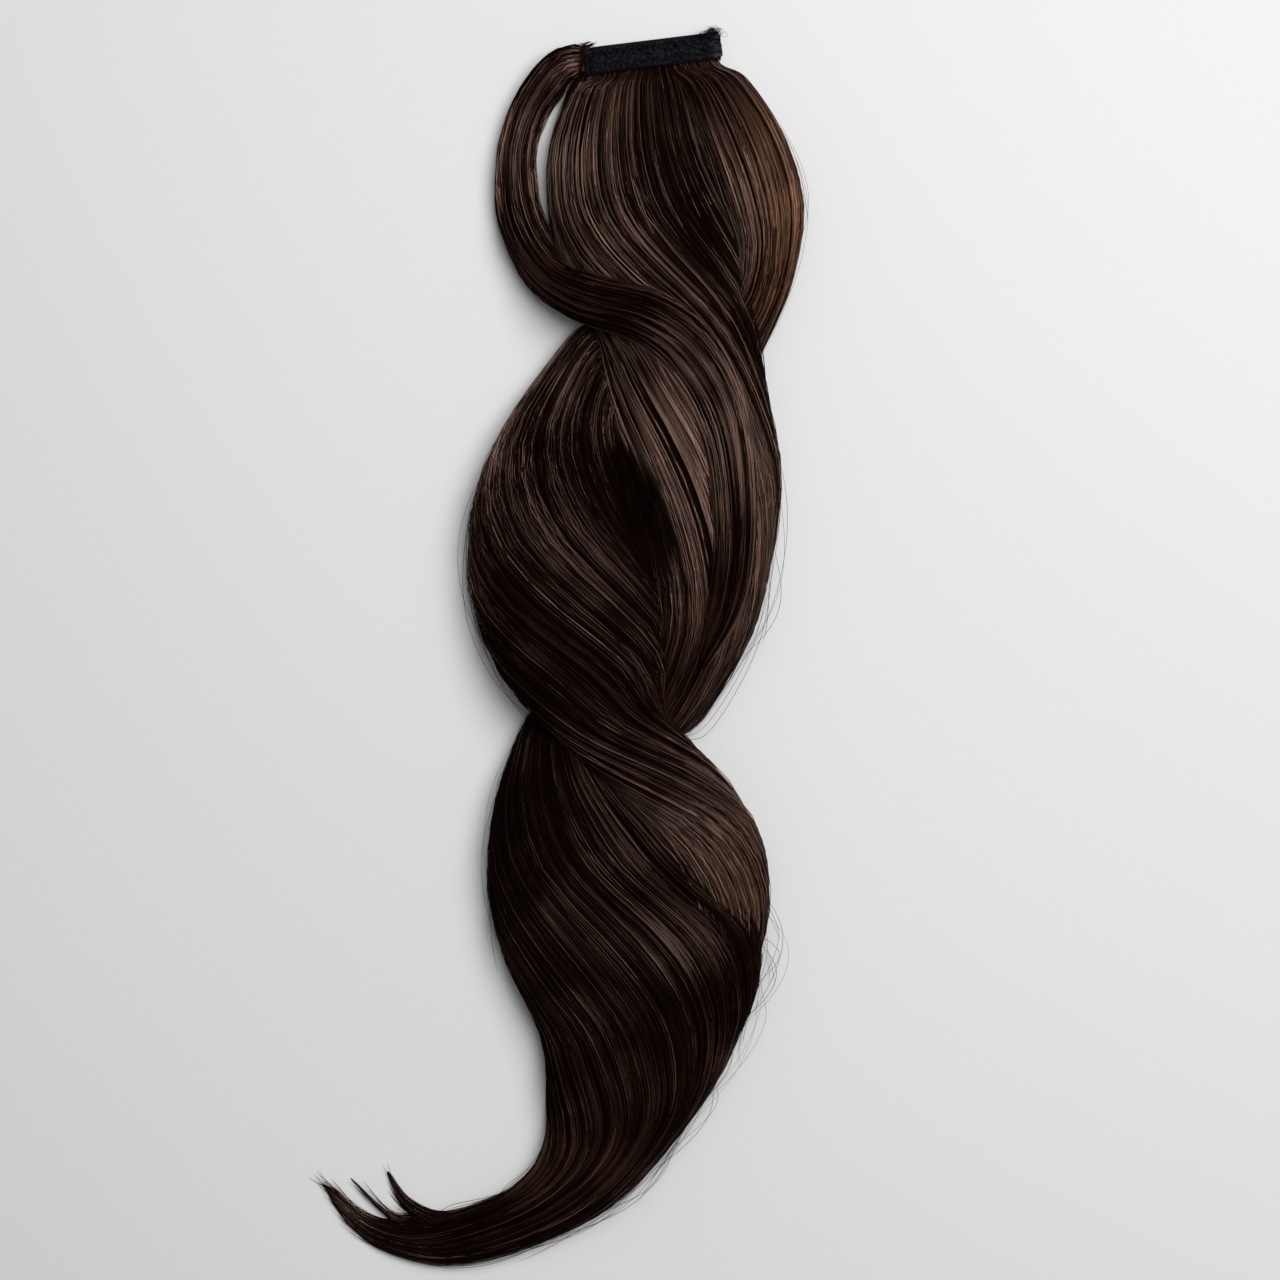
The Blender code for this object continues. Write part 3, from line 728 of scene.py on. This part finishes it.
def hair_core(name, rows, stations, points, seed, stands_for=()):
    """A lock's core, with the way that its hair flows as a second map: u is the hair's own place
    about the lock, so that it turns as the hair does, and v is the way along."""
    rings = core_rings(rows, stations, points, seed)
    piece = tube_piece(name, rings, packed, np.zeros((1, stations)), stands_for)
    twist = rows_at(rows, core_places(rows, stations))[:, 6]
    flat = cell_map(rings)
    walls = (stations - 1) * points * 4
    along = (flat[:walls, 1] - CELL_MARGIN) / (1 - 2 * CELL_MARGIN) - CAP_STRIP
    along = np.clip(along / (1 - CAP_STRIP), 0, 1)
    turned = np.interp(along * (stations - 1), np.arange(stations), twist)
    flat[:walls, 0] = flat[:walls, 0] * 2 + turned
    flow = piece.data.uv_layers.new(name="flow")
    flow.uv.foreach_set("vector", flat.astype(np.float32).reshape(-1))
    piece.data.uv_layers.active = piece.data.uv_layers["OFBake"]


def hair_piece(name, path, tone, radius, seed):
    """A piece made of strands along the paths, of about the radius."""
    return tube_piece(name, strand_rings(path, radius, np.random.default_rng(seed)), hair, tone)


def shown_at(rows, shown):
    """The weight of each row of a lock for its tufts, on straight lines through the table's rows."""
    return np.interp(np.arange(len(rows)), *np.transpose(shown))


def stray_piece(name, rows, strays, seed):
    """The loose hairs beside a lock, one group for each row of the table."""
    path, tone = (np.concatenate(group) for group in zip(*(stray_paths(rows, *row) for row in strays)))
    return hair_piece(name, path, tone, STRAY_RADIUS, seed)


CORE_STATIONS = 190
CORE_POINTS = 76
TUFTS = 290
TUFT_HAIRS = 5
STRAND_RADIUS = 0.00031
TIP_RADIUS = 0.00022
STRAY_RADIUS = 0.00013
OUTER_TIP_DARKENING = 0.18

# row, weight of its tufts
LEFT_SHOWN = [(0, 1.0), (10, 1.0), (12, 0.5), (14, 0.5), (16, 1.0), (26, 1.0), (29, 1.6)]

# taken, added, row, length in rows, turn, width in half turns: painted highlights and painted shade, where
# the hair's tone, and with it its gloss, is raised or lowered
LEFT_PAINTED_LIGHT_ZONES = [
    (0.00, 0.08, 3.0, 2.2, 0.25, 0.30),
    (0.00, -0.22, 5.0, 3.0, 0.80, 0.25),
    (0.75, 0.00, 11.7, 1.7, 0.28, 0.42),
    (0.00, 0.52, 8.5, 1.5, 0.72, 0.40),
    (0.44, 0.00, 15.5, 3.0, 0.10, 0.50),
    (0.42, 0.00, 18.5, 3.5, 0.50, math.inf),
    (0.00, 0.36, 17.7, 0.9, 0.62, 0.14),
]

# count, seed, edge, first row, last row, reach
LEFT_STRAYS = [
    (10, 34, 1, 7, 9, 0.012),
    (22, 35, 1, 15, 19, 0.018),
    (24, 36, 1, 20, 25, 0.018),
    (9, 37, 0, 13, 16, 0.009),
    (10, 38, 0, 21, 25, 0.014),
]

left_rows = np.vstack([root_rows(ROOT_START, ROOT_PARTING + ROOT_OVERLAP), LEFT_LOCK])
left_shown = shown_at(left_rows, LEFT_SHOWN)
hair_core("left_lock_core", left_rows, CORE_STATIONS, CORE_POINTS, seed=21, stands_for=["main_hair"])
for number, seed in enumerate((31, 32), start=1):
    path, tone, place, turn = strand_paths(left_rows, TUFTS, TUFT_HAIRS, seed, left_shown)
    tone = tone - OUTER_TIP_DARKENING * np.clip((place - 25) / 2, 0, 1)
    # The zones paint highlights and shade on the strands.
    tone = with_painted_light(tone, place, turn, LEFT_PAINTED_LIGHT_ZONES)
    hair_piece(f"left_lock_hair_{number}", path, tone, STRAND_RADIUS, seed + 100)

# The lock's outermost hairs start beside the folded end, and join its left edge. The three pairs are
# the least and most of a foot's place along, across and over the band.
EDGE_HAIRS = 130
EDGE_STATIONS = 14
EDGE_RADIUS = 0.00028
EDGE_FEET = ((-0.0042, 0.0026), (-0.0004, 0.0052), (0.0020, 0.0060))
draw = np.random.default_rng(39)
feet = np.stack([draw.uniform(low, high, EDGE_HAIRS) for low, high in EDGE_FEET], axis=-1)
part = np.linspace(0.0, 1.0, EDGE_STATIONS)[None, :]
place = 1.0 + draw.uniform(0.9, 2.2, EDGE_HAIRS)[:, None] * part
turn = draw.uniform(-0.09, 0.14, EDGE_HAIRS)[:, None] + 0 * part
depth = draw.uniform(-0.0012, 0.0004, EDGE_HAIRS)[:, None] - 0.003 * part**6
path = on_lock(left_rows, place, turn, depth)
path = path + (on_band(feet) - path[:, 0])[:, None] * (1 - part[..., None]) ** 2
tone = draw.normal(0.42, 0.2, EDGE_HAIRS)[:, None] - 0.5 * (1 - part) ** 2
hair_piece("left_lock_edge_hairs", path, tone, EDGE_RADIUS, seed=139)

path, tone = tip_paths(left_rows, count=110, seed=33, reach=0.012)
hair_piece("left_lock_tip", path, tone, TIP_RADIUS, seed=133)
stray_piece("left_lock_strays", left_rows, LEFT_STRAYS, seed=134)


# RIGHT LOCK
# The other thick lock, of the same fibres, sewn into the right part of the band. It goes under the
# left lock at the first crossing, over it at the second and under it in the third bulge, and ends in
# the middle tip. Its outer edge in the first bulge is warmer, where light comes through the hair.
RIGHT_LOCK = np.array([
    [0.020, 0.060, 0.010, 0.189, 0.01, 0.40, 0.00],
    [0.060, 0.091, 0.053, 0.261, 0.00, 0.74, 0.00],
    [0.110, 0.135, 0.110, 0.307, 0.00, 0.94, 0.00],
    [0.156, 0.166, 0.162, 0.295, 0.00, 0.89, 0.02],
    [0.199, 0.131, 0.209, 0.257, 0.00, 0.74, 0.05],
    [0.213, 0.031, 0.268, 0.166, 0.00, 0.54, 0.10],
    [0.213, -0.127, 0.276, 0.004, 0.00, 0.54, 0.15],
    [0.258, -0.230, 0.301, -0.039, 0.00, 0.71, 0.20],
    [0.314, -0.324, 0.340, -0.015, 0.00, 0.91, 0.26],
    [0.379, -0.380, 0.400, 0.023, 0.00, 0.97, 0.40],
    [0.449, -0.373, 0.451, 0.039, 0.03, 0.94, 0.62],
    [0.513, -0.305, 0.500, 0.031, 0.26, 0.80, 0.86],
    [0.561, -0.193, 0.540, 0.025, 0.40, 0.71, 1.00],
    [0.602, -0.089, 0.582, 0.120, 0.26, 0.80, 1.24],
    [0.642, -0.010, 0.630, 0.207, 0.06, 0.89, 1.48],
    [0.694, 0.023, 0.686, 0.239, 0.00, 0.77, 1.64],
    [0.741, -0.002, 0.741, 0.218, 0.00, 0.63, 1.76],
    [0.786, -0.089, 0.795, 0.164, 0.00, 0.51, 1.84],
    [0.823, -0.176, 0.838, 0.077, 0.00, 0.51, 1.88],
    [0.857, -0.193, 0.872, -0.002, 0.00, 0.53, 1.90],
    [0.885, -0.201, 0.905, -0.056, 0.00, 0.50, 1.92],
    [0.910, -0.226, 0.935, -0.110, 0.00, 0.43, 1.94],
    [0.934, -0.280, 0.957, -0.176, 0.00, 0.34, 1.95],
    [0.951, -0.340, 0.971, -0.259, 0.00, 0.27, 1.96],
    [0.961, -0.415, 0.979, -0.359, 0.00, 0.21, 1.96],
    [0.962, -0.490, 0.981, -0.459, 0.00, 0.16, 1.96],
    [0.959, -0.548, 0.973, -0.521, 0.00, 0.12, 1.96],
    [0.930, -0.627, 0.934, -0.620, 0.00, 0.04, 1.96],
])

# row, weight of its tufts
RIGHT_SHOWN = [
    (0, 1.0), (5, 1.0), (7, 0.3), (9, 1.0), (18, 1.0), (20, 0.2), (24, 0.2), (27, 1.2), (29, 1.6),
]

# taken, added, row, length in rows, turn, width in half turns: painted highlights and painted shade, where
# the hair's tone, and with it its gloss, is raised or lowered
RIGHT_PAINTED_LIGHT_ZONES = [
    (0.36, 0.00, 11.2, 2.4, 0.50, math.inf),
    (0.00, 0.24, 4.5, 2.0, 0.70, 0.35),
    (0.00, -0.22, 14.0, 1.8, 0.50, math.inf),
    (0.00, 0.36, 17.0, 1.4, 0.60, 0.30),
    (0.00, 0.30, 11.0, 1.5, 0.00, 0.16),
    (0.00, 0.35, 15.3, 0.9, 0.95, 0.16),
]

# The warm edge's middle and width, along the lock in rows and round it in half turns.
WARM_PLACE = (4.8, 2.6)
WARM_TURN = (0.80, 0.35)

# count, seed, edge, first row, last row, reach
RIGHT_STRAYS = [
    (7, 44, 1, 2, 4, 0.006),
    (9, 45, 0, 8, 12.5, 0.012),
]

right_rows = np.vstack([root_rows(ROOT_PARTING - ROOT_OVERLAP, ROOT_END), RIGHT_LOCK])
right_shown = shown_at(right_rows, RIGHT_SHOWN)
hair_core("right_lock_core", right_rows, CORE_STATIONS, CORE_POINTS, seed=22)
for number, seed in enumerate((41, 42), start=1):
    path, tone, place, turn = strand_paths(right_rows, TUFTS, TUFT_HAIRS, seed, right_shown)
    # The zones paint highlights and shade on the strands.
    tone = with_painted_light(tone, place, turn, RIGHT_PAINTED_LIGHT_ZONES)
    piece = hair_piece(f"right_lock_hair_{number}", path, tone, STRAND_RADIUS, seed + 100)
    warmth = near(place, *WARM_PLACE) * near(turn, *WARM_TURN)
    warmth = np.repeat(warmth, 3).astype(np.float32)
    piece.data.attributes.new("warm", "FLOAT", "POINT").data.foreach_set("value", warmth)

path, tone = tip_paths(right_rows, count=90, seed=43, reach=0.010)
hair_piece("right_lock_tip", path, tone, TIP_RADIUS, seed=143)
stray_piece("right_lock_strays", right_rows, RIGHT_STRAYS, seed=144)


# INNER TIP
# A slim wisp of the same fibres, held by the hair of the tail that it grows from. It parts from the
# inside of the tail's curl and ends in a point of its own.
INNER_TIP = np.array([
    [0.945, -0.317, 0.959, -0.301, 0.00, 0.17, 0.0],
    [0.958, -0.429, 0.971, -0.425, 0.00, 0.17, 0.0],
    [0.948, -0.504, 0.958, -0.511, 0.00, 0.11, 0.0],
    [0.924, -0.549, 0.926, -0.553, 0.00, 0.04, 0.0],
])
inner_shown = np.ones(len(INNER_TIP))
hair_core("inner_tip_core", INNER_TIP, stations=30, points=20, seed=23)
path, tone, _, _ = strand_paths(
    INNER_TIP, tufts=20, hairs=6, seed=61, shown=inner_shown, fan=3.0, stations=10
)
hair_piece("inner_tip_hair", path, tone, radius=0.00026, seed=161)
path, tone = tip_paths(INNER_TIP, count=70, seed=62, reach=0.010)
hair_piece("inner_tip_ends", path, tone, radius=0.00020, seed=162)


# WRAPPING LOCK
# A slim lock of the same fibres, sewn over the band's folded end. It is worn wound round the base of
# the ponytail to hide the band; here it curves out and back, and lies pressed into the first crossing.
WRAP_LOCK = np.array([
    [-0.006, -0.230, 0.025, -0.191, 0.09, 0.34, 0.00],
    [0.031, -0.293, 0.043, -0.224, 0.00, 0.40, 0.00],
    [0.077, -0.324, 0.077, -0.247, 0.00, 0.43, 0.02],
    [0.132, -0.320, 0.119, -0.234, 0.03, 0.43, 0.05],
    [0.182, -0.260, 0.154, -0.189, 0.17, 0.43, 0.10],
    [0.213, -0.163, 0.174, -0.104, 0.63, 0.37, 0.16],
    [0.232, -0.039, 0.192, 0.019, 0.86, 0.31, 0.22],
    [0.266, 0.046, 0.225, 0.122, 0.86, 0.29, 0.28],
    [0.318, 0.102, 0.286, 0.191, 0.83, 0.29, 0.33],
    [0.387, 0.122, 0.372, 0.212, 0.83, 0.26, 0.36],
    [0.446, 0.110, 0.450, 0.189, 0.74, 0.23, 0.38],
    [0.499, 0.081, 0.506, 0.106, 0.63, 0.11, 0.40],
])
WRAP_OVER_BAND = 0.0089
WRAP_CORE_STATIONS = 110
WRAP_CORE_POINTS = 44
WRAP_TUFTS = 180
WRAP_STRAND_RADIUS = 0.00032
wrap_thickness = WRAP_LOCK[0, 5] * HAIR_DEPTH

# taken, added, row, length in rows, turn, width in half turns: painted highlights and painted shade, where
# the hair's tone, and with it its gloss, is raised or lowered
WRAP_PAINTED_LIGHT_ZONES = [
    (0.00, -0.18, 7.0, 1.2, 0.50, math.inf),
    (0.00, 0.35, 10.5, 1.4, 0.50, math.inf),
]


def wrap_row(left, right, floor, crown):
    """A row of the wrapping lock from two points of the band's own frame."""
    left, right = (on_band(np.array([*point, 0.0])) - band_middle for point in (left, right))
    return [-left[1] / HAIR_REACH, left[0] / HAIR_SPREAD, -right[1] / HAIR_REACH,
            right[0] / HAIR_SPREAD, floor / HAIR_DEPTH, crown / HAIR_DEPTH, 0.0]


wrap_rows = np.vstack([
    wrap_row((0.0044, BAND_WIDTH * 1.05), (-0.0004, 0.0), WRAP_OVER_BAND, wrap_thickness / 2),
    wrap_row((-BAND_HEIGHT, BAND_WIDTH * 1.15), (-BAND_HEIGHT * 1.3, -BAND_WIDTH / 4),
             WRAP_OVER_BAND * 0.75, wrap_thickness * 0.8),
    WRAP_LOCK,
])
wrap_shown = np.ones(len(wrap_rows))
hair_core(
    "wrap_lock_core", wrap_rows, WRAP_CORE_STATIONS, WRAP_CORE_POINTS, seed=24, stands_for=["wrap_lock"]
)
path, tone, place, turn = strand_paths(wrap_rows, WRAP_TUFTS, TUFT_HAIRS, 51, wrap_shown, fan=4.0)
# The zones paint highlights and shade on the strands.
tone = with_painted_light(tone, place, turn, WRAP_PAINTED_LIGHT_ZONES)
hair_piece("wrap_lock_hair", path, tone, WRAP_STRAND_RADIUS, seed=151)

# The lock's cut ends stick out over the band's upper edge. The pairs are the least and most of where
# an end starts along and across the band, and of how far it goes.
CUT_ENDS = 130
CUT_END_STATIONS = 6
CUT_END_RADIUS = 0.00018
CUT_END_STARTS = ((-0.005, 0.002), (0.011, 0.0165))
CUT_END_REACHES = ((0.004, 0.0095), (0.0005, 0.0035))
draw = np.random.default_rng(71)
starts = np.stack([draw.uniform(low, high, CUT_ENDS) for low, high in CUT_END_STARTS], axis=-1)
ends = starts + np.stack([draw.uniform(low, high, CUT_ENDS) for low, high in CUT_END_REACHES], axis=-1)
part = np.linspace(0.0, 1.0, CUT_END_STATIONS)[None, :, None]
plan = starts[:, None] + (ends - starts)[:, None] * part
plan[..., 0] -= 0.0012 * np.sin(np.pi * part[..., 0])
rise = draw.uniform(0.0100, 0.0118, CUT_ENDS)[:, None, None] - 0.0015 * part**2
path = on_band(np.concatenate([plan, rise + 0 * plan[..., :1]], axis=-1))
tone = draw.normal(0.30, 0.15, CUT_ENDS)[:, None] + np.zeros(CUT_END_STATIONS)
hair_piece("wrap_lock_cut_ends", path, tone, CUT_END_RADIUS, seed=171)


# FLOOR, LIGHT AND CAMERA
# A plain pale surface, a large soft light from the upper right, a weak one from past the band and a
# pale sky, with the camera straight above.
FRAME_SIZE = 0.768
frame_centre = band_middle + np.array([-0.0078, -0.3429, 0.0])

FLOOR_REACH = 3.0
floor_mesh = bpy.data.meshes.new("floor")
floor_corners = [(x * FLOOR_REACH, y * FLOOR_REACH, 0.0) for x, y in ((-1, -1), (1, -1), (1, 1), (-1, 1))]
floor_mesh.from_pydata(floor_corners, [], [(0, 1, 2, 3)])
floor = bpy.data.objects.new("floor", floor_mesh)
bpy.context.scene.collection.objects.link(floor)
paper, shader, add, join = new_material("pale_surface")
shader.inputs["Base Color"].default_value = (0.80, 0.80, 0.80, 1.0)
shader.inputs["Roughness"].default_value = 0.9
floor_mesh.materials.append(paper)

# name, shape, power, size, place from the middle of the picture, which each light looks at
LIGHTS = [
    ("key", "DISK", 57.0, 2.2, (0.90, 0.78, 2.05)),
    ("fill", "SQUARE", 3.0, 1.8, (-0.5, 1.8, 1.1)),
]
for name, shape, power, size, away in LIGHTS:
    light = bpy.data.lights.new(name, "AREA")
    light.energy = power
    light.shape = shape
    light.size = size
    holder = bpy.data.objects.new(name, light)
    holder.location = frame_centre + np.array(away)
    lean = math.atan2(math.hypot(away[0], away[1]), away[2])
    holder.rotation_euler = (lean, 0.0, math.atan2(away[0], -away[1]))
    bpy.context.scene.collection.objects.link(holder)

world = bpy.data.worlds.new("pale_sky")
world.use_nodes = True
world.node_tree.nodes["Background"].inputs["Color"].default_value = (0.97, 0.98, 1.0, 1.0)
world.node_tree.nodes["Background"].inputs["Strength"].default_value = 0.19
bpy.context.scene.world = world

camera = bpy.data.cameras.new("camera")
camera.lens = 105.0
camera.sensor_width = 36.0
camera_holder = bpy.data.objects.new("camera", camera)
camera_height = FRAME_SIZE * camera.lens / camera.sensor_width
camera_holder.location = (frame_centre[0], frame_centre[1], camera_height)
bpy.context.scene.collection.objects.link(camera_holder)
bpy.context.scene.camera = camera_holder
bpy.context.scene.view_settings.view_transform = "Standard"

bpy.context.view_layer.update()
